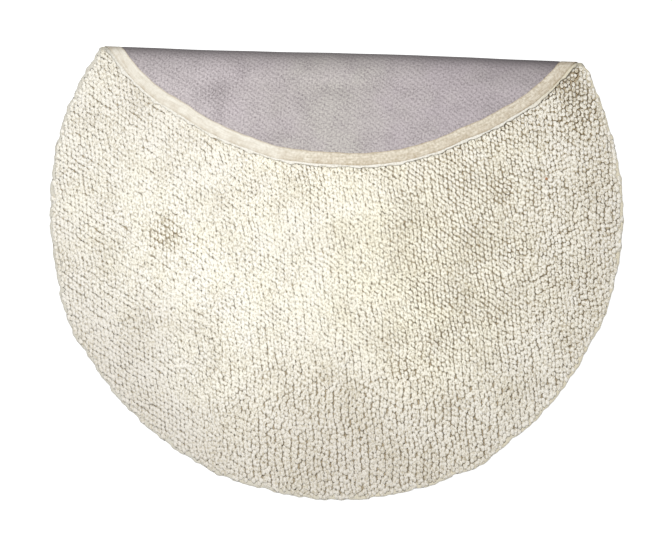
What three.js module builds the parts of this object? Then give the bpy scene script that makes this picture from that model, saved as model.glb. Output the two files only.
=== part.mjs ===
// A round loop-pile rug lying on the floor, its far edge folded forward over its own pile.
// Millimetres, +Z up. The origin is the centre of the round, on the floor, and the fold runs along X.
// Each layer is drawn flat, as it was cut, and then carried over the fold.
import * as THREE from "three";

// Driving dimensions
const RUG_RADIUS = 600; // to the outermost loops
const RUG_THICKNESS = 11.5; // floor to loop tops
const BACKING_THICKNESS = 1.2;
const TAPE_THICKNESS = 1;
const TAPE_WIDTH = 25;
const TAPE_INSET = 4; // from the rim to the tape's outer edge
const LAYER_GAP = 0.3;
const LAP_CLEARANCE = 1; // beside the tape's inner edge, where the backing has climbed to its lap
const LAP_CLIMB = 7; // length of that climb
const RIM_ROUND = 5; // depth of the pile's rounded edge
const FLAP_GAP = 1.5; // between the two piles, where the flap lies on the rug
const BACK_TURN = THREE.MathUtils.degToRad(125); // turned by the tight bend at the fold's back
const SETTLE_RADIUS = 150; // of the bend that brings the flap back to level

// How far the rim departs from a true circle, counter-clockwise from +X
const RIM_BULGES = [
  { angle: -180, bulge: 0.5 },
  { angle: -160, bulge: 3 },
  { angle: -130, bulge: -3 },
  { angle: -100, bulge: -1 },
  { angle: -62, bulge: 5 },
  { angle: -30, bulge: -0.5 },
  { angle: 0, bulge: 0 },
  { angle: 20, bulge: -2 },
  { angle: 32, bulge: 1 },
  { angle: 46, bulge: 0.5 },
  { angle: 54, bulge: -7 },
  { angle: 62, bulge: -6 },
  { angle: 80, bulge: 1 },
  { angle: 95, bulge: 0 },
  { angle: 122, bulge: -3 },
  { angle: 138, bulge: 3 },
  { angle: 152, bulge: 1 },
  { angle: 165, bulge: 3 },
  { angle: 180, bulge: 0.5 },
];

// The fold from left to right: where its back stands, and the radii of its bend at the back and over the top
const FOLD_SECTIONS = [
  { across: -600, back: 330, tight: 13, wide: 20 },
  { across: -400, back: 329.5, tight: 13, wide: 27 },
  { across: -300, back: 328, tight: 17.2, wide: 50 },
  { across: -150, back: 329, tight: 18.7, wide: 55 },
  { across: 0, back: 331, tight: 19.5, wide: 57 },
  { across: 130, back: 332.5, tight: 16.8, wide: 49 },
  { across: 250, back: 332.5, tight: 14.8, wide: 44 },
  { across: 360, back: 331.5, tight: 13, wide: 22 },
  { across: 600, back: 331, tight: 13, wide: 18 },
];

// Rows of points parallel to the fold, by their angle on the rim: close together where the cloth bends
const ROW_BANDS = [
  { from: -87, to: 27, count: 20 },
  { from: 29.5, to: 38.5, count: 15 },
  { from: 39.3, to: 52, count: 14 },
  { from: 53.5, to: 62, count: 6 },
  { from: 66, to: 87, count: 5 },
];
const COLUMNS = 12;
const ROUND_STEPS = 4;
const TAPE_STRIPS = 3;

const radians = THREE.MathUtils.degToRad;

// The value of one column of a table at a place between its rows, eased from row to row.
function eased(rows, place, value, at) {
  const after = Math.max(1, rows.findIndex((row) => row[place] >= at));
  const [low, high] = [rows[after - 1], rows[after]];
  const share = THREE.MathUtils.smoothstep(at, low[place], high[place]);
  return THREE.MathUtils.lerp(low[value], high[value], share);
}

// A point of the flat rug on the rim at an angle, moved in from the rim.
function rimPoint(angle, inset) {
  const radius = RUG_RADIUS + eased(RIM_BULGES, "angle", "bulge", angle) - inset;
  return new THREE.Vector2(radius * Math.cos(radians(angle)), radius * Math.sin(radians(angle)));
}

const rowAngles = ROW_BANDS.flatMap(({ from, to, count }) =>
  Array.from({ length: count }, (_, i) => THREE.MathUtils.lerp(from, to, i / (count - 1))),
);

// A point of the flat rug on a row, at a share of the way from its left end to its right end.
function rowPoint(row, share, inset) {
  const right = rowAngles[row];
  const left = right > 0 ? 180 - right : -180 - right;
  return rimPoint(left, inset).lerp(rimPoint(right, inset), share);
}

// Carries a point of the flat rug, at a height above its underside, over the fold.
// The section runs level on the floor, turns up and back in a tight bend, comes over the top in a wider one,
// settles in a wide bend the other way, and then lies level on the pile below.
function fold(flat, height) {
  const tight = eased(FOLD_SECTIONS, "across", "tight", flat.x);
  const wide = eased(FOLD_SECTIONS, "across", "wide", flat.x);
  const start = eased(FOLD_SECTIONS, "across", "back", flat.x) - tight;
  const top = 2 * RUG_THICKNESS + FLAP_GAP;
  const rise = tight * (1 - Math.cos(BACK_TURN)) + wide * Math.cos(BACK_TURN);
  const over = Math.acos(Math.min(1, (SETTLE_RADIUS + top - rise) / (SETTLE_RADIUS + wide)));
  const pastStart = flat.y - start;
  const pastBack = pastStart - tight * BACK_TURN;
  const pastTop = pastBack - wide * (Math.PI + over - BACK_TURN);
  const pastSettle = pastTop - SETTLE_RADIUS * over;
  const turn = THREE.MathUtils.clamp(pastStart / tight, 0, BACK_TURN);
  const crest = BACK_TURN + THREE.MathUtils.clamp(pastBack / wide, 0, Math.PI + over - BACK_TURN);
  const settle = over - THREE.MathUtils.clamp(pastTop / SETTLE_RADIUS, 0, over);
  const heading = turn + (crest - BACK_TURN) - (over - settle);
  const y =
    start +
    Math.min(pastStart, 0) +
    tight * Math.sin(turn) +
    wide * (Math.sin(crest) - Math.sin(BACK_TURN)) -
    SETTLE_RADIUS * (Math.sin(over) - Math.sin(settle)) -
    Math.max(pastSettle, 0);
  const z =
    tight * (1 - Math.cos(turn)) +
    wide * (Math.cos(BACK_TURN) - Math.cos(crest)) +
    SETTLE_RADIUS * (Math.cos(over) - Math.cos(settle));
  return [flat.x, y - height * Math.sin(heading), z + height * Math.cos(heading)];
}

// The outline of a row grid, counter-clockwise: along the first row, up the right, back, and down the left.
const lastRow = rowAngles.length - 1;
const outline = [];
for (let column = 0; column < COLUMNS; column += 1) outline.push([0, column]);
for (let row = 0; row < lastRow; row += 1) outline.push([row, COLUMNS]);
for (let column = COLUMNS; column > 0; column -= 1) outline.push([lastRow, column]);
for (let row = lastRow; row > 0; row -= 1) outline.push([row, 0]);

// A layer of the rug as one closed solid. Its edge is a list of rings, each moved in from the rim and
// raised above the underside. With faces, the first and last rings are filled below and above;
// without, the rings close on themselves as a strip round the rim. A band that goes inward is split along
// the same diagonal as one that goes outward, so that the gap between two layers stays even.
function layer(rings, faces) {
  const points = [];
  const triangles = [];
  const quad = (a, b, c, d) => triangles.push(a, b, c, a, c, d);
  const ringAt = rings.map(({ inset, height }) => {
    const first = points.length / 3;
    outline.forEach(([row, column]) => points.push(...fold(rowPoint(row, column / COLUMNS, inset), height)));
    return first;
  });
  const bands = faces ? rings.length - 1 : rings.length;
  for (let band = 0; band < bands; band += 1) {
    const above = (band + 1) % rings.length;
    const [low, high] = [ringAt[band], ringAt[above]];
    const goesInward = rings[above].inset > rings[band].inset;
    outline.forEach((_, i) => {
      const next = (i + 1) % outline.length;
      if (goesInward) quad(low + next, high + next, high + i, low + i);
      else quad(low + i, low + next, high + next, high + i);
    });
  }
  if (faces) {
    fillFace(rings[0], ringAt[0], (a, b, c, d) => triangles.push(a, c, b, a, d, c));
    fillFace(rings.at(-1), ringAt.at(-1), quad);
  }
  const geometry = new THREE.BufferGeometry();
  geometry.setAttribute("position", new THREE.Float32BufferAttribute(points, 3));
  geometry.setIndex(triangles);
  geometry.computeVertexNormals();
  return geometry;

  // A grid of rows and columns inside a ring, which shares the ring's own points.
  function fillFace({ inset, height }, ring, addQuad) {
    const onRing = new Map(outline.map((place, i) => [place.join(), ring + i]));
    const at = (row, column) => {
      const place = [row, column].join();
      if (!onRing.has(place)) {
        onRing.set(place, points.length / 3);
        points.push(...fold(rowPoint(row, column / COLUMNS, inset), height));
      }
      return onRing.get(place);
    };
    for (let row = 0; row < lastRow; row += 1) {
      for (let column = 0; column < COLUMNS; column += 1) {
        addQuad(at(row, column), at(row, column + 1), at(row + 1, column + 1), at(row + 1, column));
      }
    }
  }
}

// Where the layers lie over each other at the rim
const tapeInner = TAPE_INSET + TAPE_WIDTH;
const stripWidth = TAPE_WIDTH / TAPE_STRIPS;
const lapEnd = tapeInner + LAP_CLEARANCE;
const lapStart = lapEnd + LAP_CLIMB;
const lapHeight = TAPE_THICKNESS + LAYER_GAP;
const backingEdge = TAPE_INSET + stripWidth;

// The insets of the lap from its foot out to the backing's cut edge, each with how far the lap has climbed.
const lapRings = [
  { inset: lapStart, height: 0 },
  { inset: lapEnd, height: lapHeight },
  { inset: tapeInner - stripWidth, height: lapHeight },
  { inset: backingEdge, height: lapHeight },
];
const raised = (rings, by) => rings.map(({ inset, height }) => ({ inset, height: height + by }));

// The pile with its ground cloth: flat above, lapped below, rounded at the rim.
function pile() {
  const under = BACKING_THICKNESS + LAYER_GAP;
  const middle = (lapHeight + under + RUG_THICKNESS) / 2;
  const half = RUG_THICKNESS - middle;
  const roundRings = Array.from({ length: ROUND_STEPS + 1 }, (_, i) => {
    const turn = Math.PI * (i / ROUND_STEPS - 0.5);
    return { inset: RIM_ROUND * (1 - Math.cos(turn)), height: middle + half * Math.sin(turn) };
  });
  return layer([...raised(lapRings, under), ...roundRings], true);
}

// The backing cloth, glued under the ground cloth, with its cut edge lapped by the tape.
function backing() {
  return layer([...lapRings, ...raised(lapRings, BACKING_THICKNESS).reverse()], true);
}

// The binding tape, a flat strip sewn round the underside of the rim.
function bindingTape() {
  const across = Array.from({ length: TAPE_STRIPS + 1 }, (_, i) => tapeInner - i * stripWidth);
  const below = across.map((inset) => ({ inset, height: 0 }));
  return layer([...below, ...raised(below, TAPE_THICKNESS).reverse()], false);
}

const rug = new THREE.Group();
const addPiece = (name, geometry, color, roughness) => {
  const finish = new THREE.MeshStandardMaterial({ color, roughness, metalness: 0 });
  const piece = new THREE.Mesh(geometry, finish);
  piece.name = name;
  rug.add(piece);
};
addPiece("pile", pile(), 0xe4decd, 0.95);
addPiece("backing", backing(), 0xb8b1b1, 0.9);
addPiece("binding_tape", bindingTape(), 0xe4dcc8, 0.85);

export default rug;
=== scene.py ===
import bpy
import numpy as np
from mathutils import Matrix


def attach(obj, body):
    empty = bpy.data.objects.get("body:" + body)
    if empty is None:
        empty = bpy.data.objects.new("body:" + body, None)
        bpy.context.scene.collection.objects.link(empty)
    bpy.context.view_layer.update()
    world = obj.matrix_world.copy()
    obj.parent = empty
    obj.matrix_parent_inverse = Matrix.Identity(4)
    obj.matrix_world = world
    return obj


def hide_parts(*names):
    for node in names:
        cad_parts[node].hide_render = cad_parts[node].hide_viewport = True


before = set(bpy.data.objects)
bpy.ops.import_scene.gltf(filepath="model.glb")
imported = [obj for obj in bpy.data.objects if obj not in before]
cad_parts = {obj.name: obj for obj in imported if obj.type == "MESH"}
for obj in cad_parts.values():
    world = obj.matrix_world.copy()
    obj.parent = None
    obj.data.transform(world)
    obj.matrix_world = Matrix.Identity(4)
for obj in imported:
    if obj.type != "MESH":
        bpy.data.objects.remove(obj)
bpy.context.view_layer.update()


# Ground cloth
# A round of tan cotton cloth that the yarn is looped through. The rug lies on the floor with its far edge
# folded forward over its own pile, so every layer is drawn flat, as it was cut, and carried over the fold.
RUG_RADIUS = 0.600
RUG_THICKNESS = 0.0115
BACKING_THICKNESS = 0.0012
TAPE_THICKNESS = 0.0010
LAYER_GAP = 0.0003
FLAP_GAP = 0.0015
SETTLE_RADIUS = 0.150
BACK_TURN = np.radians(125)
GROUND_THICKNESS = 0.0042
GROUND_INSET = 0.0065
LAP_FOOT, LAP_TOP = 0.037, 0.030
GROUND_TAN, GROUND_DARK = (0.46, 0.375, 0.25), (0.322, 0.2625, 0.175)

# The rim's departure from a true round: angle in degrees from +X, and bulge
RIM_BULGES = np.array([
    (-180, 0.0005), (-160, 0.0030), (-130, -0.0030), (-100, -0.0010), (-62, 0.0050), (-30, -0.0005),
    (0, 0.0), (20, -0.0020), (32, 0.0010), (46, 0.0005), (54, -0.0070), (62, -0.0060), (80, 0.0010),
    (95, 0.0), (122, -0.0030), (138, 0.0030), (152, 0.0010), (165, 0.0030), (180, 0.0005),
])
# The fold from left to right: place across, where its back stands, and the radii of its back and its crest
FOLD_SECTIONS = np.array([
    (-0.600, 0.3300, 0.0130, 0.020), (-0.400, 0.3295, 0.0130, 0.027), (-0.300, 0.3280, 0.0172, 0.050),
    (-0.150, 0.3290, 0.0187, 0.055), (0.000, 0.3310, 0.0195, 0.057), (0.130, 0.3325, 0.0168, 0.049),
    (0.250, 0.3325, 0.0148, 0.044), (0.360, 0.3315, 0.0130, 0.022), (0.600, 0.3310, 0.0130, 0.018),
])
# Rows of points parallel to the fold, by their angles on the rim in degrees: before, over and past its bends
ROW_SPANS = ((-88, 27), (28, 62), (64, 88))


def smooth_step(low, high, at):
    """0 at low, 1 at high, eased between by 3t^2 - 2t^3."""
    share = np.clip((at - low) / (high - low), 0, 1)
    return share ** 2 * (3 - 2 * share)


def eased(table, at):
    """The values of a table's later columns at places between its rows, eased from row to row."""
    after = np.clip(np.searchsorted(table[:, 0], at), 1, len(table) - 1)
    low, high = table[after - 1], table[after]
    share = smooth_step(low[..., 0], high[..., 0], at)
    return low[..., 1:] + (high[..., 1:] - low[..., 1:]) * share[..., None]


def at_rim(angle, inset):
    """Points of the flat rug at angles in radians: the rim's radius there, less an inset."""
    radius = RUG_RADIUS + eased(RIM_BULGES, np.degrees(angle))[..., 0] - inset
    return np.stack([radius * np.cos(angle), radius * np.sin(angle)], -1)


def over_fold(flat, height):
    """Carries points of the flat rug, at heights above its underside, over the fold. Along its section the
    rug is level, turns up and over in a tight bend, goes on over the crest in a wider one to a little past
    half a circle, settles in a wide bend the other way, and is level again. The height is measured square to
    that line."""
    across, along = flat[..., 0], flat[..., 1]
    back, tight, wide = np.moveaxis(eased(FOLD_SECTIONS, across), -1, 0)
    start = back - tight
    top = 2 * RUG_THICKNESS + FLAP_GAP
    rise = tight * (1 - np.cos(BACK_TURN)) + wide * np.cos(BACK_TURN)
    over = np.arccos(np.minimum(1, (SETTLE_RADIUS + top - rise) / (SETTLE_RADIUS + wide)))
    past_start = along - start
    past_back = past_start - tight * BACK_TURN
    past_crest = past_back - wide * (np.pi + over - BACK_TURN)
    turn = np.clip(past_start / tight, 0, BACK_TURN)
    crest = BACK_TURN + np.clip(past_back / wide, 0, np.pi + over - BACK_TURN)
    settle = over - np.clip(past_crest / SETTLE_RADIUS, 0, over)
    y = (start + np.minimum(past_start, 0) + tight * np.sin(turn) + wide * (np.sin(crest) - np.sin(BACK_TURN))
         - SETTLE_RADIUS * (np.sin(over) - np.sin(settle)) - np.maximum(past_crest - SETTLE_RADIUS * over, 0))
    z = (tight * (1 - np.cos(turn)) + wide * (np.cos(BACK_TURN) - np.cos(crest))
         + SETTLE_RADIUS * (np.cos(over) - np.cos(settle)))
    heading = turn + (crest - BACK_TURN) - (over - settle)
    return np.stack([across, y - height * np.sin(heading), z + height * np.cos(heading)], -1)


def new_piece(name, points, faces, maps=(), tones=()):
    """A smooth mesh from whole arrays: points, the corners of each face, UV maps given for each corner of
    each face, and tones given for each point."""
    mesh = bpy.data.meshes.new(name)
    mesh.vertices.add(len(points))
    mesh.vertices.foreach_set("co", points.astype(np.float32).ravel())
    mesh.loops.add(faces.size)
    mesh.loops.foreach_set("vertex_index", faces.astype(np.int32).ravel())
    mesh.polygons.add(len(faces))
    mesh.polygons.foreach_set("loop_start", np.arange(0, faces.size, faces.shape[1], dtype=np.int32))
    mesh.update(calc_edges=True)
    mesh.polygons.foreach_set("use_smooth", np.ones(len(faces), dtype=bool))
    for map_name, uv in dict(maps).items():
        layer = mesh.uv_layers.new(name=map_name)
        layer.uv.foreach_set("vector", uv.astype(np.float32).ravel())
    for tone_name, values in dict(tones).items():
        tone = mesh.attributes.new(tone_name, "FLOAT", "POINT")
        tone.data.foreach_set("value", values.astype(np.float32).ravel())
    piece = bpy.data.objects.new(name, mesh)
    bpy.context.scene.collection.objects.link(piece)
    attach(piece, "root")
    return piece


def round_layer(name, rings, row_counts, columns):
    """A closed sheet cut round. Its edge is an array of rings, each an inset from the rim and a height, from
    the underside to the top. The first and last are filled with rows parallel to the fold, close together
    where the cloth bends. The flat rug's own coordinates are its UV map."""
    row_angles = [np.linspace(*span, count) for span, count in zip(ROW_SPANS, row_counts)]
    right_end = np.radians(np.concatenate(row_angles))
    left_end = np.where(right_end > 0, np.pi, -np.pi) - right_end
    share = np.linspace(0, 1, columns + 1)[None, :, None]
    insets, heights = rings.T
    ends = [(at_rim(left_end, inset)[:, None], at_rim(right_end, inset)[:, None]) for inset in insets]
    grid = np.stack([left * (1 - share) + right * share for left, right in ends])
    last_row = len(right_end) - 1
    down, along = np.arange(last_row), np.arange(columns)
    edge_row = np.concatenate([0 * along, down, 0 * along + last_row, down[::-1] + 1])
    edge_column = np.concatenate([along, 0 * down + columns, columns - along, 0 * down])
    edge, inner = grid[:, edge_row, edge_column], grid[[0, -1], 1:-1, 1:-1]
    flat = np.concatenate([edge.reshape(-1, 2), inner.reshape(-1, 2)])
    inner_height = np.repeat(heights[[0, -1]], inner[0].size // 2)
    height = np.concatenate([np.repeat(heights, edge.shape[1]), inner_height])
    number = np.arange(edge.size // 2).reshape(edge.shape[:2])
    low, high = number[:-1], number[1:]
    bands = np.stack([low, np.roll(low, -1, 1), np.roll(high, -1, 1), high], -1).reshape(-1, 4)
    face = np.empty((2, last_row + 1, columns + 1), int)
    face[:, edge_row, edge_column] = number[[0, -1]]
    face[:, 1:-1, 1:-1] = number.size + np.arange(inner.size // 2).reshape(inner.shape[:3])
    fill = np.stack([face[:, :-1, :-1], face[:, :-1, 1:], face[:, 1:, 1:], face[:, 1:, :-1]], -1)
    below, above = fill[0, ..., ::-1].reshape(-1, 4), fill[1].reshape(-1, 4)
    faces = np.concatenate([bands, below, above])
    return new_piece(name, over_fold(flat, height), faces, maps={"flat": flat[faces]})


class Shade:
    """A value in a material's nodes, so that sums and products of values are written as such."""

    def __init__(self, tree, socket=None):
        self.tree, self.socket = tree, socket

    def feed(self, socket, value):
        """Links a value to a socket, or sets a plain number, colour or vector on it."""
        if isinstance(value, Shade):
            self.tree.links.new(value.socket, socket)
        else:
            socket.default_value = value

    def node(self, kind, inputs=(), output=0, **settings):
        """One output of any node, made from its kind, its settings, and its inputs by name or number."""
        made = self.tree.nodes.new(kind)
        for setting, value in settings.items():
            setattr(made, setting, value)
        for name, value in dict(inputs).items():
            self.feed(made.inputs[name], value)
        return Shade(self.tree, made.outputs[output])

    def math(self, operation, *values):
        return self.node("ShaderNodeMath", dict(enumerate((self, *values))), operation=operation)

    def __add__(self, other):
        return self.math("ADD", other)

    def __mul__(self, other):
        return self.math("MULTIPLY", other)

    def __sub__(self, other):
        return self.math("SUBTRACT", other)

    def __rsub__(self, other):
        return self * -1 + other

    __radd__, __rmul__ = __add__, __mul__

    def clamped(self):
        """This value, kept between 0 and 1."""
        return self.math("MINIMUM", 1.0).math("MAXIMUM", 0.0)

    def mix(self, first, second):
        """A colour between two colours, by this value."""
        return self.node("ShaderNodeMix", {0: self, 6: first, 7: second}, output=2, data_type="RGBA")

    def place(self):
        """The vector of a point's place in the rug's own frame."""
        return self.node("ShaderNodeTexCoord", output=3)

    def map(self, map_name):
        """The vector of a point's place on one of the piece's UV maps."""
        return self.node("ShaderNodeUVMap", uv_map=map_name)

    def tone(self, tone_name):
        """A tone that the piece's points carry."""
        return self.node("ShaderNodeAttribute", output=2, attribute_name=tone_name)

    def axis(self, number):
        """One coordinate of this vector."""
        return self.node("ShaderNodeSeparateXYZ", {0: self}, output=number)

    def scaled(self, factors):
        """This vector with each coordinate multiplied by its own factor."""
        return self.node("ShaderNodeVectorMath", {0: self, 1: factors}, operation="MULTIPLY")

    def distance(self, point):
        """How far this vector is from a point."""
        return self.node("ShaderNodeVectorMath", {0: self, 1: point}, output=1, operation="DISTANCE")

    def noise(self, scale, detail=2.0):
        """Noise at this vector, by its grains for each metre and how many finer ones are added."""
        return self.node("ShaderNodeTexNoise", {"Vector": self, "Scale": scale, "Detail": detail})

    def bump(self, depth, strength):
        """The normal of a surface with this value as its relief."""
        return self.node("ShaderNodeBump", {"Height": self, "Distance": depth, "Strength": strength})


def new_cloth(name, roughness, sheen, gloss=0.15, sheen_roughness=0.6):
    """A matt cloth: its material, its root shade, and its shader's sockets."""
    cloth = bpy.data.materials.new(name)
    cloth.use_nodes = True
    shader = cloth.node_tree.nodes["Principled BSDF"].inputs
    shader["Roughness"].default_value = roughness
    shader["Specular IOR Level"].default_value = gloss
    shader["Sheen Weight"].default_value = sheen
    shader["Sheen Roughness"].default_value = sheen_roughness
    return cloth, Shade(cloth.node_tree), shader


def colour(rgb):
    return (*rgb, 1.0)


under_ground = BACKING_THICKNESS + LAYER_GAP
lap_height = TAPE_THICKNESS + LAYER_GAP
ground_under = np.array([(LAP_FOOT, under_ground), (LAP_TOP, under_ground + lap_height),
                         (GROUND_INSET, under_ground + lap_height)])
ground_rings = np.concatenate([ground_under, ground_under[::-1] + (0, GROUND_THICKNESS)])
ground = round_layer("ground_cloth", ground_rings, row_counts=(30, 60, 14), columns=30)

tan_cotton, root, shader = new_cloth("tan_cotton", roughness=0.95, sheen=0.0)
mottle = root.map("flat").noise(60.0, 3.0)
root.feed(shader["Base Color"], mottle.mix(colour(GROUND_TAN), colour(GROUND_DARK)))
ground.data.materials.append(tan_cotton)
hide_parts("pile")


# Turned edge
# The ground cloth's edge, rolled over and whipped smooth with cream yarn. It shows as an uneven lip past the
# outermost loops, painted as lit cream on the flap and at the left, and in grey and khaki as painted shade
# where it lies low by the floor, more towards the right.
# Painted light and shade: the cream is the lip as lit, the grey and khaki the lip in shade
LIP_LIT_CREAM, LIP_SHADE_GREY = (0.690, 0.670, 0.610), (0.540, 0.520, 0.460)
LIP_SHADE_KHAKI, LIP_STAIN_AND_SHADE = (0.620, 0.570, 0.445), (0.465, 0.4275, 0.33375)
# The yarn wrapped round the lip: its grains for each metre, and its depth
WRAP_GRAIN, WRAP_DEPTH = 260.0, 0.0010
# Where on the flat rug the lip starts to be painted lighter, as if lit, towards the flap and towards the left
LIT_FLAP_FROM, LIT_LEFT_FROM = 0.41, -0.1
# Where the back of the fold starts to be darkened as painted shade, and how fast for each metre towards the
# back
FOLD_SHADE_START, FOLD_SHADE_RATE = 0.319, 90.0
# Round the lip from its inner side over the underside and back: inset from the rim, and height
LIP_SECTION = np.array([
    (0.0150, 0.0064), (0.0065, 0.0018), (0.0012, 0.0016), (0.0004, 0.0019), (0.0000, 0.0030),
    (0.0000, 0.0070), (0.0003, 0.0079), (0.0010, 0.0085), (0.0036, 0.0089), (0.0105, 0.0082),
])
# The even waves of the rim: height, number round the rim, and phase
RIM_WAVES = ((0.0008, 47, 1.0), (0.0008, 83, 2.0), (0.0006, 131, 0.0), (0.0005, 211, 0.5))
# Where the rim swells or hollows: angle in degrees from +X, spread in degrees, and how far it swells
RIM_SWELLS = np.array([
    (-19, 2.5, 0.0030), (-26, 3.0, -0.0020), (-51, 4.0, -0.0030), (-58, 2.5, 0.0050), (-64, 3.0, -0.0025),
    (-75, 6.0, -0.0028), (-102, 4.0, -0.0025), (-112, 1.5, 0.0030), (-146, 4.0, -0.0030), (-154, 4.0, 0.0025),
    (-168, 6.0, -0.0045), (178, 14.0, -0.0025), (84, 38.0, 0.0008), (46, 7.0, 0.0016), (33, 4.5, 0.0032),
    (138, 6.0, 0.0022),
])


def waves(turn, table):
    """The sum of a table's sines round the rim, at angles in radians."""
    height, number, phase = np.array(table).T
    return np.sum(height * np.sin(number * turn[..., None] + phase), -1)


def ripple(turn):
    """How far the edge swells out at angles in radians: the even waves, stronger at the left, with a bell
    e^(-t^2) for each swell."""
    apart = (np.degrees(turn)[..., None] - RIM_SWELLS[:, 0] + 180) % 360 - 180
    bells = RIM_SWELLS[:, 2] * np.exp(-(apart / RIM_SWELLS[:, 1]) ** 2)
    return waves(turn, RIM_WAVES) * (1.1 - 0.2 * np.cos(turn)) + bells.sum(-1)


# Angles once round the rim from its near side, closer together where the cloth bends
right_turn = np.concatenate([np.arange(-90, 28, 0.5), np.arange(28, 62, 0.3), np.arange(62, 90, 0.5)])
rim_turn = np.radians(np.concatenate([right_turn, 180 - right_turn[:0:-1]]))
rim_turn = np.arctan2(np.sin(rim_turn), np.cos(rim_turn))


def round_rim(name, inset, height, map_name, uv=None):
    """A closed strip round the rim, from the insets and heights of its section at each angle of the rim. The
    section goes from its inner side over the underside to its outer side and back. Its map is the flat rug's
    own coordinates, or is given for each corner of each face."""
    flat = at_rim(rim_turn[:, None], inset)
    number = np.arange(inset.size).reshape(inset.shape)
    ahead = np.roll(number, -1, 0)
    faces = np.stack([number, np.roll(number, -1, 1), np.roll(ahead, -1, 1), ahead], -1).reshape(-1, 4)
    uv = flat.reshape(-1, 2)[faces] if uv is None else uv
    return new_piece(name, over_fold(flat, height).reshape(-1, 3), faces, maps={map_name: uv})


def fold_back_shade(root):
    """1 at the back of the fold, which is darkened there as painted shade, and 0 in front of it."""
    return ((root.place().axis(1) - FOLD_SHADE_START) * FOLD_SHADE_RATE).clamped()


lip_inset = LIP_SECTION[:, 0] - ripple(rim_turn)[:, None]
lip_height = np.broadcast_to(LIP_SECTION[:, 1], lip_inset.shape)
lip = round_rim("turned_edge", lip_inset, lip_height, "flat")

whipped_edge, root, shader = new_cloth("whipped_edge", roughness=0.9, sheen=0.1)
flat_place = root.map("flat")
flat_x, flat_y = flat_place.axis(0), flat_place.axis(1)
wraps = flat_place.noise(WRAP_GRAIN)
# Painted shade in grey and khaki, more towards the right, and painted light in cream on the flap and at the
# left
khaki_shade = (flat_place.noise(45.0, 3.0) * 1.8 - 0.4 + flat_x * 1.2).clamped()
lip_shade = khaki_shade.mix(colour(LIP_SHADE_GREY), colour(LIP_SHADE_KHAKI))
lip_lit = ((flat_y - LIT_FLAP_FROM) * 20.0 + ((LIT_LEFT_FROM - flat_x) * 5.0).clamped() * 1.2).clamped()
whipped = lip_lit.mix(lip_shade, colour(LIP_LIT_CREAM))
# Stained in specks along the wrapped yarn, and darkened at the back of the fold as painted shade
stain_and_shade = (wraps * 3.0 - 1.4 + fold_back_shade(root) * 0.9).clamped()
root.feed(shader["Base Color"], stain_and_shade.mix(whipped, colour(LIP_STAIN_AND_SHADE)))
root.feed(shader["Normal"], wraps.bump(depth=WRAP_DEPTH, strength=0.6))
lip.data.materials.append(whipped_edge)
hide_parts("pile")


# Yarn loops
# Chunky undyed wool, tufted through the ground cloth in wavy columns and left uncut. Each loop swells into a
# soft bead until it meets the next ones. The outermost ones lean over the lip.
COLUMN_STEP = np.array([0.008683, -0.005100])
STITCH_STEP = np.array([-0.001155, 0.010170])
LATTICE_REACH = 90
LOOP_SIDES, LOOP_PIECES = 8, 5
# A loop's rings from its foot to its crown: share of its reach, and share of its height
LOOP_RINGS = np.array([(1.00, 0.38), (0.93, 0.70), (0.68, 0.93)])
# The same rings in a loop's cell of the bake map, and where and how large its foot is there, as shares of it
CELL_RINGS, FOOT_CORNER, FOOT_SHARE = (0.45, 0.31, 0.15), 0.02, 0.08
# How near the rim loops come at the left, how far in from it they lean out, and how much lip stays bare
EDGE_CLEARANCE, EDGE_DEPTH, BARE_LIP = 0.0062, 0.020, 0.0012
FOOT_SINK = 0.0003
# How far loops differ by chance: in reach, in each point's reach and rise, and in height, lean and room
REACH_SPREAD, POINT_SPREAD, RISE_SPREAD = 0.035, 0.07, 0.03
TALL_SPREAD, LEAN_SPREAD, ROOM_SPREAD = 0.0003, 0.0008, 0.0006
# How far columns rise and drop by turns, how far loops at the rim lean out, and how much lower they are
COLUMN_RISE, EDGE_LEAN, EDGE_DROP = 0.0002, 0.0006, 0.0012
# How much thinner loops are where the pile has parted, and how much lower
PARTED_THIN, PARTED_DROP = 0.11, 0.0016
# The side of each loop that is painted lighter, as if lit, with painted shade on the side away from it, and
# how much of a loop's height that counts for
LIT_SIDE, LIT_SHARE = np.radians(135), 0.18
# The yarn's plies: grains for each metre, how they are stretched, and depth
PLY_GRAIN, PLY_STRETCH, PLY_DEPTH = 270.0, (1.0, 0.7, 1.0), 0.0008
COOL_CREAM, WARM_CREAM, GREY_SHADE_CREAM = (0.835, 0.815, 0.750), (0.845, 0.815, 0.685), (0.642, 0.607, 0.546)
# A darker cream for strands and tone, the painted shade of the crevices between loops, and the painted shadow
# of the deepest ones
CREAM_SHADE, CREVICE_SHADE, DEEP_SHADOW = (0.450, 0.400, 0.295), (0.31, 0.23, 0.105), (0.090, 0.052, 0.016)
RUST, RUST_SPOT, RUST_REACH = (0.34, 0.12, 0.035), (0.4360, 0.0855, 0.0110), 0.0022
# The direction in which the pile is greyest towards the rim
LOWER_LEFT = (-0.79, -0.61)
# Where the pile is warmer, and where it stays closed at the right: a place on the flat rug, and its spread
WARM_PLACE, WARM_SPREAD = (0.14, -0.10), (0.07, 0.12)
CLOSED_PLACE, CLOSED_REACH = (0.35, -0.38), 0.14
# Where the pile is painted greyer or less grey: a place on the flat rug, how far round it, and how much
GREY_PATCHES = np.array([
    (-0.38, 0.20, 0.12, 0.45), (-0.08, -0.05, 0.11, 0.32), (-0.27, -0.37, 0.10, -0.20),
    (0.00, -0.34, 0.14, 0.26), (0.04, -0.52, 0.15, 0.36), (0.16, 0.08, 0.11, 0.22),
    (-0.36, -0.25, 0.09, 0.35), (-0.27, 0.08, 0.09, 0.28), (0.20, -0.25, 0.07, -0.25),
])
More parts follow.
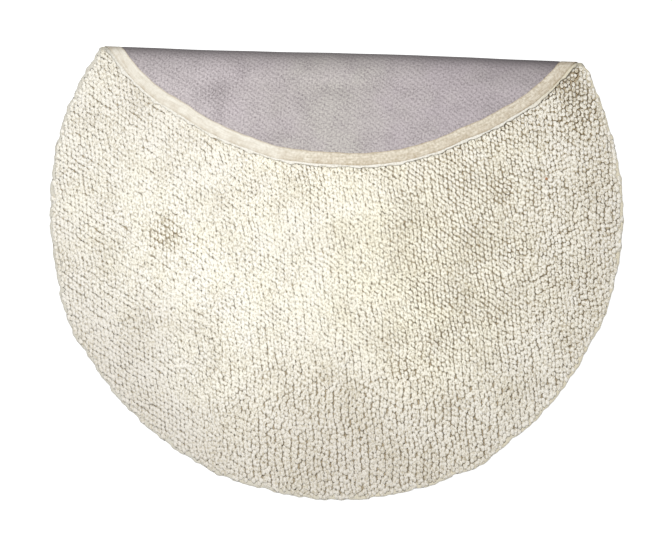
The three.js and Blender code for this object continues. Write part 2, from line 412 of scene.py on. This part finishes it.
# Where the pile has parted and its gaps are painted darker as shade, those near the fold's right end as a
# painted shadow under the flap's edge: a place on the flat rug, how far from it, and how much
PARTED_SHADED = np.array([
    (0.478, 0.300, 0.034, 2.0), (0.435, 0.267, 0.026, 0.9), (0.500, 0.250, 0.090, 0.5),
    (0.347, 0.192, 0.014, 1.0), (-0.358, -0.053, 0.055, 0.6), (0.378, -0.075, 0.035, 0.5),
    (0.345, 0.060, 0.040, 0.4), (0.150, -0.325, 0.040, 0.4), (-0.040, 0.085, 0.085, 0.22),
])


def swell(flat, turns, phase):
    """A slow wave over the flat rug: the sine of a place along a direction, in turns for each metre."""
    return np.sin(2 * np.pi * (flat @ np.array(turns)) + phase)


def ring_turns(sides, rings):
    """The angles of a bead's points, ring by ring, each ring turned half a side from the last."""
    return 2 * np.pi * (np.arange(sides) + 0.5 * np.arange(rings)[:, None]) / sides


def bead(sides, rings):
    """A closed bead: rings of a radius and a height, each turned half a side from the last, between a pole
    below and a pole above. Gives its points and its triangles, with those round the lower pole last."""
    turn = ring_turns(sides, len(rings))
    ring = np.stack([rings[:, :1] * np.cos(turn), rings[:, :1] * np.sin(turn), rings[:, 1:] + 0 * turn], -1)
    points = np.concatenate([ring.reshape(-1, 3), [(0, 0, 0), (0, 0, 1)]])
    number = np.arange(len(rings) * sides).reshape(len(rings), sides)
    low, high, after = number[:-1], number[1:], np.roll(number, -1, 1)
    lower = np.stack([low, after[:-1], high], -1).reshape(-1, 3)
    upper = np.stack([after[:-1], after[1:], high], -1).reshape(-1, 3)
    foot_pole, crown_pole = 0 * number[0] + number.size, 0 * number[0] + number.size + 1
    bottom = np.stack([after[0], number[0], foot_pole], -1)
    crown = np.stack([number[-1], after[-1], crown_pole], -1)
    return points, np.concatenate([lower, upper, crown, bottom])


chance = np.random.default_rng(20)
lattice = np.stack([COLUMN_STEP, STITCH_STEP])
count = np.arange(-LATTICE_REACH, LATTICE_REACH + 1)
column, stitch = np.meshgrid(count, count, indexing="ij")
column_side, row_side = np.where(column % 2, 1, -1), np.where(stitch % 2, 1, -1)
centre = column[..., None] * COLUMN_STEP + stitch[..., None] * STITCH_STEP

# How the pile lies: in slanting rows at the left, in pairs of columns at the near edge, open at the right
at_left = smooth_step(-0.10, -0.36, centre[..., 0])
at_near = smooth_step(-0.20, -0.40, centre[..., 1]) * (1 - at_left)
at_right = smooth_step(0.30, 0.46, centre[..., 0])
open_pile = np.maximum(smooth_step(-0.02, 0.26, centre[..., 0]), 0.66 * at_near)
open_pile *= 1 - 0.4 * np.exp(-np.sum((centre - CLOSED_PLACE) ** 2, -1) / CLOSED_REACH ** 2)

# Slow waves across and along the columns, with a zigzag at the near edge
centre[..., 0] += 0.0017 * swell(centre, (1.3, 8.1), 0.4) + 0.0013 * swell(centre, (-3.1, 13.0), 2.1)
centre[..., 0] += at_near * (0.0007 * swell(centre, (17.0, 34.0), 0.7) + 0.0006 * row_side)
centre[..., 1] += 0.0016 * swell(centre, (6.3, 2.2), 1.3) + 0.0012 * swell(centre, (11.0, -4.0), 0.2)

# How far each loop strays from its place and draws towards its pair, in steps of the lattice
stray = chance.normal(0, 1, centre.shape) * np.stack([0.095 + 0.02 * at_right, 0.14 + 0.03 * at_right], -1)
pair_draw = 0.02 + 0.03 * at_near
paired = np.stack([-column_side * pair_draw * (1 - at_left), -row_side * 0.03 * at_left], -1)
centre += stray @ lattice
centre += paired @ lattice

# The loops inside the rim, which come nearer to it at the right
angle = np.arctan2(centre[..., 1], centre[..., 0])
rim_gap = np.linalg.norm(at_rim(angle, -ripple(angle)), axis=-1) - np.linalg.norm(centre, axis=-1)
clearance = (EDGE_CLEARANCE - 0.0018 * smooth_step(-0.30, 0.20, centre[..., 0])
             - 0.0014 * at_right * smooth_step(-0.15, 0.05, centre[..., 1]))
kept = rim_gap > clearance
# How far it is to the next loop each way, in steps of the lattice
ahead, behind = (1 + way * (np.roll(stray, -way, 1) - stray)[kept][:, None, 1] for way in (1, -1))
beside, before = (1 + way * (np.roll(stray, -way, 0) - stray)[kept][:, None, 0] for way in (1, -1))
centre, angle, rim_gap, column_side, row_side = (
    values[kept] for values in (centre, angle, rim_gap, column_side, row_side))
at_left, at_near, at_right, open_pile, pair_draw = (
    values[kept] for values in (at_left, at_near, at_right, open_pile, pair_draw))
loops = len(centre)
from_middle = np.linalg.norm(centre, axis=1)

# A loop fills its cell of the lattice, with round corners. Along a spoke it reaches to |x/w|^s + |y/l|^s = 1,
# where x and y count steps of the lattice, and w and l are its half width and half length: more than half a
# step where it presses into the next loop, and less where it draws away from it. The power s is 2 for an
# ellipse, and a little more where the pile is closed.
loop_turn = ring_turns(LOOP_SIDES, len(LOOP_RINGS)).ravel()
spoke = chance.uniform(0, 2 * np.pi, loops)[:, None] + loop_turn
steps = np.stack([np.cos(spoke), np.sin(spoke)], -1) @ np.linalg.inv(lattice)
# At the right and the near edge, loops stand square to their columns
steps[..., 1] -= 0.5 * np.maximum(at_right, at_near)[:, None] * steps[..., 0]
full = 0.05 * at_left * (1 - smooth_step(0.36, 0.52, from_middle))
wide = np.where(steps[..., 0] > 0, beside, before)
wide *= (1.32 - 0.07 * open_pile - 0.05 * at_near + full)[:, None]
wide *= 1 - pair_draw[:, None] * (steps[..., 0] * column_side[:, None] > 0)
long = np.where(steps[..., 1] > 0, ahead, behind)
long *= (1.36 - 0.08 * open_pile + 0.04 * at_right + 0.15 * at_near + full)[:, None]
long *= 1 - (0.06 * at_left)[:, None] * (steps[..., 1] * row_side[:, None] > 0)
power = (2.15 - 0.15 * open_pile)[:, None]
reach = np.abs(2 * steps[..., 0] / wide) ** power + np.abs(2 * steps[..., 1] / long) ** power
reach = reach ** (-1 / power)
reach *= np.exp(chance.normal(0, 1, loops) * (REACH_SPREAD + 0.02 * at_right))[:, None]

# Each loop's height and lean, and the room that the rim leaves it
tall = RUG_THICKNESS + COLUMN_RISE * column_side + chance.normal(0, TALL_SPREAD, loops)
outward = np.stack([np.cos(angle), np.sin(angle)], -1)
at_edge = 1 - smooth_step(EDGE_CLEARANCE, EDGE_DEPTH, rim_gap)
lean = chance.normal(0, LEAN_SPREAD, (loops, 2)) + EDGE_LEAN * at_edge[:, None] * outward
room = (rim_gap - BARE_LIP + chance.normal(0, ROOM_SPREAD, loops))[:, None]
reach = np.minimum(reach, room / np.maximum(np.cos(spoke - angle[:, None]), 0.15))

# Parted places, where loops are thinner and lower, and the gaps between them are painted darker as shade
parted_shaded = 1 - smooth_step(0.3, 1.0, np.linalg.norm(centre[:, None] - PARTED_SHADED[:, :2], axis=-1) / PARTED_SHADED[:, 2])
parted_shaded = np.max(parted_shaded * PARTED_SHADED[:, 3], axis=1)
reach *= (1 - PARTED_THIN * parted_shaded)[:, None]
tall -= EDGE_DROP * at_edge + PARTED_DROP * parted_shaded
open_pile = open_pile * (1 - 0.7 * at_edge) + 1.6 * parted_shaded
foot = under_ground + GROUND_THICKNESS - FOOT_SINK
foot = foot + lap_height * (1 - smooth_step(LAP_TOP, LAP_FOOT, rim_gap))

# Each loop's own tone, how much greyer its cream is painted, partly as painted shade where the light falls
# off towards the rim, the near side and the right and partly as a grey tint, and how warm its cream is
tone = chance.random(loops)
to_lower_left = smooth_step(0.40, 0.58, centre @ LOWER_LEFT)
grey_and_shade = (0.40 * smooth_step(0.32, 0.62, from_middle) + 0.42 * smooth_step(-0.15, -0.50, centre[:, 1])
          + 0.22 * smooth_step(0.00, 0.34, centre[:, 0]) * smooth_step(-0.38, -0.10, centre[:, 1])
          + 0.37 * to_lower_left)
from_patch = np.sum((centre[:, None] - GREY_PATCHES[:, :2]) ** 2, -1) / GREY_PATCHES[:, 2] ** 2
grey_and_shade += np.exp(-from_patch) @ GREY_PATCHES[:, 3]
grey_and_shade *= 1 - smooth_step(0.33, 0.40, centre[:, 1])
warm = 0.25 + 0.6 * np.exp(-np.sum((centre - WARM_PLACE) ** 2 / WARM_SPREAD, -1)) - 0.3 * to_lower_left

soft_wool, root, shader = new_cloth("soft_wool", roughness=0.95, sheen=0.15)
place = root.place()
opening = root.tone("open")
plies = (place.scaled(PLY_STRETCH).noise(PLY_GRAIN, 1.0) * 5.0 - 2.3).clamped()
uneven = place.noise(220.0, 1.0)
warmth = (root.tone("warm") + place.noise(17.0, 3.0) * 1.6 - 0.8).clamped()
cream = warmth.mix(colour(COOL_CREAM), colour(WARM_CREAM))
# Greyer as painted shade where the light falls off, and as a grey tint
cream = (root.tone("grey_and_shade") * 0.8).mix(cream, colour(GREY_SHADE_CREAM))
shaded = plies * (opening * 0.20 + 0.67) + root.tone("tone") * (opening * 0.06 + 0.12)
shaded = (shaded + place.noise(10.0, 1.0) * 0.8 - 0.46).clamped()
cream = shaded.mix(cream, colour(CREAM_SHADE))
rusty = (1.8 - place.distance(RUST_SPOT) * (1 / RUST_REACH)).clamped() * 0.9
cream = rusty.mix(cream, colour(RUST))
# The low sides of loops are painted darker as crevice shade, more where the pile is open, with the deep
# painted shadow where it has parted most
low_side = 1.0 - ((root.tone("rise") - 0.66) * 6.0 + (uneven - 0.5) * 1.8).clamped()
crevice_shade_share = low_side * (opening * 0.81 + 0.10) * (place.noise(95.0) * 2.6 - 0.45).clamped()
shadow_colour = (opening - 1.4).clamped().mix(colour(CREVICE_SHADE), colour(DEEP_SHADOW))
root.feed(shader["Base Color"], crevice_shade_share.mix(cream, shadow_colour))
root.feed(shader["Normal"], (1.0 - plies).bump(depth=PLY_DEPTH, strength=0.8))

# One cell of the bake map for each loop, opened out round its crown, with its foot in the cell's corner
bead_points, bead_faces = bead(LOOP_SIDES, LOOP_RINGS)
opened = np.repeat(CELL_RINGS, LOOP_SIDES)
cell = np.stack([0.5 + opened * np.cos(loop_turn), 0.5 + opened * np.sin(loop_turn)], -1)
cell = np.concatenate([cell, [(0.05, 0.05), (0.5, 0.5)]])[bead_faces]
cell[-LOOP_SIDES:] = FOOT_CORNER + FOOT_SHARE * cell[-LOOP_SIDES:]

share_out = np.repeat(LOOP_RINGS[:, 0], LOOP_SIDES)
loop_tones = {"tone": tone, "open": open_pile, "grey_and_shade": grey_and_shade, "warm": warm}
loop_pieces = []
for members in np.array_split(np.argsort(angle, kind="stable"), LOOP_PIECES):
    out = share_out * reach[members] * (1 + chance.normal(0, POINT_SPREAD, (len(members), len(share_out))))
    flat = np.stack([out * np.cos(spoke[members]), out * np.sin(spoke[members])], -1)
    flat = np.concatenate([flat, 0 * flat[:, :2]], 1)
    rise = bead_points[:, 2] + chance.normal(0, RISE_SPREAD, flat.shape[:2]) * (bead_points[:, 2] > 0)
    flat += centre[members][:, None] + lean[members][:, None] * rise[..., None]
    height = foot[members][:, None] + (tall - foot)[members][:, None] * rise
    faces = bead_faces[None] + len(bead_points) * np.arange(len(members))[:, None, None]
    cells = int(np.ceil(np.sqrt(len(members))))
    corner = np.stack([np.arange(len(members)) % cells, np.arange(len(members)) // cells], -1)
    bake = (corner[:, None, None] + cell[None]) / cells
    # Each point's rise is raised on the side towards the light and lowered away from it: painted light and
    # shade
    facing_light = np.concatenate([share_out * np.cos(spoke[members] - LIT_SIDE), 0 * flat[:, :2, 0]], 1)
    lit_rise = rise + LIT_SHARE * (0.1 + 0.9 * np.minimum(open_pile[members], 1))[:, None] * facing_light
    tones = {name: np.repeat(values[members], len(bead_points)) for name, values in loop_tones.items()}
    piece = new_piece(f"yarn_loops_{len(loop_pieces) + 1}", over_fold(flat, height).reshape(-1, 3),
                      faces.reshape(-1, 3), maps={"OFBake": bake}, tones={"rise": lit_rise, **tones})
    piece.data.materials.append(soft_wool)
    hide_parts("pile")
    loop_pieces.append(piece)


# Backing
# A round of grey canvas woven in twill, glued under the ground cloth. Towards the rim it climbs a little, so
# that its cut edge lies over the binding tape.
BACKING_INSET = 0.01233
# Its underside from the climb's foot out to the cut edge: inset from the rim, and share of the lap's height
LAP = np.array([
    (0.0420, 0.0), (0.0370, 0.02), (0.0345, 0.16), (0.0325, 0.5), (0.0308, 0.85), (0.0298, 1.0),
    (0.0210, 1.0), (BACKING_INSET, 1.0),
])
CANVAS_GREY, CANVAS_DARK, CANVAS_WARM = (0.432, 0.386, 0.402), (0.190, 0.168, 0.174), (0.450, 0.424, 0.399)
CANVAS_LIGHT, CREST_SHADE = (0.505, 0.460, 0.468), (0.120, 0.106, 0.110)
SMUDGE_PLACE, SMUDGE_REACH = (-0.247, 0.443, 0.0), 0.045
# The tufts pressed through from the other face: turns for each metre of their rows, steps and columns
ROW_TURNS, STEP_TURNS, COLUMN_TURNS = (61.5, -91.4), (61.9, 105.4), (123.4, 14.0)
# The canvas's threads: grains for each metre, and depth of the weave
THREAD_GRAIN, WEAVE_DEPTH = 300.0, 0.0012
# Along the flat rug, where the crest's painted shade starts and deepens, and where it ends under the rug
CREST_START, CREST_DEEP, CREST_END = 0.42, 0.375, 0.305

lap_climb = np.stack([LAP[:, 0], lap_height * LAP[:, 1]], -1)
backing_rings = np.concatenate([lap_climb, lap_climb[::-1] + (0, BACKING_THICKNESS)])
backing = round_layer("backing_canvas", backing_rings, row_counts=(44, 92, 22), columns=48)

grey_canvas, root, shader = new_cloth("grey_canvas", roughness=0.9, sheen=0.05)
flat_place = root.map("flat")
flat_x, flat_y = flat_place.axis(0), flat_place.axis(1)
wander = flat_place.noise(30.0) * 1.6


def pressed(turns):
    """A wave over the canvas, by its turns for each metre across and along, wandering a little."""
    return ((flat_x * turns[0] + flat_y * turns[1] + wander) * (2 * np.pi)).math("COSINE")


tufts = pressed(ROW_TURNS) * 0.12 + pressed(STEP_TURNS) * 0.06 + pressed(COLUMN_TURNS) * 0.06 + 0.5
threads = flat_place.noise(THREAD_GRAIN)
in_middle = (1.0 - (flat_x + 0.02).math("ABSOLUTE") * 4.5).clamped()
warmed = (flat_place.noise(14.0, 4.0) * 1.6 - 0.8 + in_middle).clamped()
canvas = warmed.mix(colour(CANVAS_GREY), colour(CANVAS_WARM))
light_left = ((-0.12 - flat_x) * 5.0).clamped()
canvas = light_left.mix(canvas, colour(CANVAS_LIGHT))
smudge = (1.0 - flat_place.distance(SMUDGE_PLACE) * (1 / SMUDGE_REACH)).clamped()
grime = (flat_place.noise(21.0, 3.0) * 2.0 - 0.9).clamped() + smudge * 0.7
weave = (tufts * 0.9 + threads * 2.1 - 0.80 - grime * 0.40).clamped().mix(colour(CANVAS_DARK), canvas)
# The canvas is painted darker towards the crest of the fold, more at the right, as painted shade
more_right = ((flat_x - 0.2) * 5.0).clamped() * 0.4 + 0.9
crest = ((CREST_START - flat_y) * 13.0).clamped() + ((CREST_DEEP - flat_y) * 28.0).clamped() * more_right
crest = crest * ((flat_y - CREST_END) * 30.0).clamped()
root.feed(shader["Base Color"], (crest * 0.51).clamped().mix(weave, colour(CREST_SHADE)))
root.feed(shader["Normal"], (tufts * 0.6 + threads * 0.8).bump(depth=WEAVE_DEPTH, strength=0.8))
backing.data.materials.append(grey_canvas)
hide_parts("backing")


# Binding tape
# A strip of cream cotton tape, woven in fine lengthwise ribs and sewn flat round the underside of the rim,
# over the backing's cut edge. It is the face that shows along the folded flap.
TAPE_INSET, TAPE_WIDTH = 0.004, 0.025
TAPE_CREAM, TAPE_CLEAN = (0.672, 0.623, 0.525), (0.695, 0.668, 0.594)
TAPE_SHADE, TAPE_TAN = (0.430, 0.375, 0.285), (0.330, 0.255, 0.160)
# The ribs: their pitch, their grains for each metre, how these are stretched along the strip, and depth
RIB_PITCH, RIB_GRAIN, RIB_STRETCH, RIB_DEPTH = 0.0021, 330.0, (0.08, 1.0, 1.0), 0.0004
# How wide the wear is along the tape's inner and outer edges
INNER_WEAR, OUTER_WEAR = 0.0030, 0.0045
# How far along the tape, from the near side by way of the right, it starts to be cleaner
CLEAN_FROM = 1.84
# The slow waver of the strip: height, number round the rim, and phase
TAPE_WAVES = ((0.0005, 23, 1.0), (0.0004, 41, 0.0), (0.0003, 97, 0.0))
# Across the tape from its inner edge and back: share of its width, and share of its thickness
TAPE_SECTION = np.array([
    (0.0, 0.30), (0.015, 0.06), (0.05, 0.0), (0.275, 0.0), (0.5, 0.0), (0.725, 0.0), (0.95, 0.0),
    (0.985, 0.06), (1.0, 0.30), (1.0, 0.70), (0.97, 1.0), (0.5, 1.0), (0.03, 1.0), (0.0, 0.70),
])

waver = waves(rim_turn, TAPE_WAVES)
tape_inset = TAPE_INSET + waver[:, None] + TAPE_WIDTH * (1 - TAPE_SECTION[None, :, 0])
tape_height = np.broadcast_to(TAPE_THICKNESS * TAPE_SECTION[:, 1], tape_inset.shape)
middle_line = at_rim(rim_turn, TAPE_INSET + waver + TAPE_WIDTH / 2)
lengths = np.linalg.norm(np.roll(middle_line, -1, 0) - middle_line, axis=1)
from_start = np.concatenate([[0], np.cumsum(lengths)])
tape_length = from_start[-1]
# The tape's map, for each corner of each face: metres along the strip, and across it from its inner edge
corner_along = np.stack([from_start[:-1], from_start[1:]], -1)[:, None, [0, 0, 1, 1]]
corner_share = np.stack([TAPE_SECTION[:, 0], np.roll(TAPE_SECTION[:, 0], -1)], -1)[None, :, [0, 1, 1, 0]]
tape_map = np.stack(np.broadcast_arrays(corner_along, TAPE_WIDTH * corner_share), -1)
tape = round_rim("binding_tape_strip", tape_inset, tape_height, "tape", tape_map)

cream_tape, root, shader = new_cloth("cream_tape", roughness=0.85, sheen=0.05)
tape_place = root.map("tape")
tape_along, tape_across = tape_place.axis(0), tape_place.axis(1)
ribs = (tape_across * (2 * np.pi / RIB_PITCH)).math("SINE") * 0.2
ribs = ribs + tape_place.scaled(RIB_STRETCH).noise(RIB_GRAIN) * 1.6 - 0.3
picks = tape_place.noise(190.0, 3.0)
used = 1.0 - ((tape_along - CLEAN_FROM) * 6.0).clamped()
woven = (ribs * 0.7 + picks * (used * 1.8 + 0.8) - used * 1.2 + 0.02).clamped()
ribbed = woven.mix(colour(TAPE_SHADE), used.mix(colour(TAPE_CLEAN), colour(TAPE_CREAM)))
# Worn to tan in patches towards the rim, along both edges and in specks; darkened to tan at the back of the
# fold as painted shade
wear_and_shade = ((tape_place.noise(45.0, 4.0) * 4.0 - 1.7) * (tape_across * (1.4 / TAPE_WIDTH) - 0.3)).clamped()
wear_and_shade = wear_and_shade + (1.0 - tape_across * (1.0 / INNER_WEAR)).clamped() * 1.3
wear_and_shade = wear_and_shade + (1.0 - (TAPE_WIDTH - tape_across) * (1.0 / OUTER_WEAR)).clamped() * (used * 0.45 + 0.4)
wear_and_shade = wear_and_shade + (tape_place.noise(160.0, 3.0) * 7.0 - 3.8).clamped() * (used * 0.55 + 0.15)
wear_and_shade = wear_and_shade + fold_back_shade(root) * 0.8
root.feed(shader["Base Color"], (wear_and_shade * 0.5).clamped().mix(ribbed, colour(TAPE_TAN)))
root.feed(shader["Normal"], (ribs * 0.6 + picks * 0.4).bump(depth=RIB_DEPTH, strength=0.6))
tape.data.materials.append(cream_tape)
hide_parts("binding_tape")


# Tape stitches
# Two rows of cotton thread that sew the tape to the rug, a little in from its edges. Each stitch is a low
# bead, more than half of it sunk in the tape.
STITCH_LENGTH, STITCH_WIDTH, STITCH_PITCH = 0.0048, 0.0009, 0.0062
STITCH_DEPTH, STITCH_SUNK = 0.0006, 0.00035
STITCH_ROWS = (0.0025, 0.0225)
STITCH_SIDES, STITCH_RINGS = 5, np.array([(0.8, 0.15), (0.8, 0.75)])
THREAD_CREAM, THREAD_SHADE, TWIST_GRAIN = (0.64, 0.60, 0.50), (0.544, 0.51, 0.425), 300.0

stitch_points, stitch_faces = bead(STITCH_SIDES, STITCH_RINGS)
stitch_count = int(tape_length / STITCH_PITCH)
stitch_turn = np.tile(-np.pi + 2 * np.pi * (np.arange(stitch_count) + 0.5) / stitch_count, len(STITCH_ROWS))
stitch_inset = TAPE_INSET + TAPE_WIDTH - np.repeat(STITCH_ROWS, stitch_count)
sewn = at_rim(stitch_turn, stitch_inset)
lengthwise = np.stack([-np.sin(stitch_turn), np.cos(stitch_turn)], -1)
sideways = np.stack([np.cos(stitch_turn), np.sin(stitch_turn)], -1)
stitch_flat = (sewn[:, None] + lengthwise[:, None] * stitch_points[:, :1] * STITCH_LENGTH / 2
               + sideways[:, None] * stitch_points[:, 1:2] * STITCH_WIDTH / 2)
stitch_height = STITCH_SUNK - STITCH_DEPTH * np.broadcast_to(stitch_points[:, 2], stitch_flat.shape[:2])
sewn_faces = stitch_faces[None, :, ::-1] + len(stitch_points) * np.arange(len(sewn))[:, None, None]
stitches = new_piece("tape_stitches", over_fold(stitch_flat, stitch_height).reshape(-1, 3),
                     sewn_faces.reshape(-1, 3))

cotton_thread, root, shader = new_cloth("cotton_thread", roughness=0.7, sheen=0.0)
twist = root.place().noise(TWIST_GRAIN)
root.feed(shader["Base Color"], twist.mix(colour(THREAD_CREAM), colour(THREAD_SHADE)))
stitches.data.materials.append(cotton_thread)
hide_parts("binding_tape")


# Floor, light and camera
# A white floor that glows a little, one soft light above the rug and a little to its left, an even fill from
# all round, and a camera straight above.
FLOOR_GREY, FLOOR_GLOW, FLOOR_REACH, FLOOR_DROP = (0.40, 0.40, 0.40), 0.75, 8, 0.0008
WHITE = (1, 1, 1)
LIGHT_PLACE, LIGHT_SIZE, LIGHT_POWER = (-0.15, 0.07, 1.90), 0.45, 42.8
FILL_STRENGTH = 0.28
CAMERA_PLACE, CAMERA_TURN = (0.0044, -0.1324, 2.6), np.radians(2.0)
SENSOR_WIDTH, LENS_LENGTH = 36.0, 66.48

floor_corners = [(x * FLOOR_REACH, y * FLOOR_REACH, -FLOOR_DROP)
                 for x, y in ((-1, -1), (1, -1), (1, 1), (-1, 1))]
floor_mesh = bpy.data.meshes.new("studio_floor")
floor_mesh.from_pydata(floor_corners, [], [(0, 1, 2, 3)])
floor = bpy.data.objects.new("studio_floor", floor_mesh)
bpy.context.scene.collection.objects.link(floor)
white_floor, root, shader = new_cloth("white_floor", roughness=0.9, sheen=0.0)
shader["Base Color"].default_value = colour(FLOOR_GREY)
shader["Emission Color"].default_value = colour(WHITE)
shader["Emission Strength"].default_value = FLOOR_GLOW
floor_mesh.materials.append(white_floor)
floor.visible_diffuse = False

lamp = bpy.data.lights.new("key_light", "AREA")
lamp.size, lamp.energy = LIGHT_SIZE, LIGHT_POWER
key_light = bpy.data.objects.new("key_light", lamp)
bpy.context.scene.collection.objects.link(key_light)
key_light.location = LIGHT_PLACE
key_light.visible_camera = False

world = bpy.data.worlds.new("studio_fill")
world.use_nodes = True
background = world.node_tree.nodes["Background"].inputs
background["Color"].default_value = colour(WHITE)
background["Strength"].default_value = FILL_STRENGTH
bpy.context.scene.world = world
bpy.context.scene.view_settings.view_transform = "Standard"

lens = bpy.data.cameras.new("overhead_camera")
lens.sensor_width, lens.lens = SENSOR_WIDTH, LENS_LENGTH
camera = bpy.data.objects.new("overhead_camera", lens)
bpy.context.scene.collection.objects.link(camera)
camera.location = CAMERA_PLACE
camera.rotation_euler = (0, 0, CAMERA_TURN)
bpy.context.scene.camera = camera
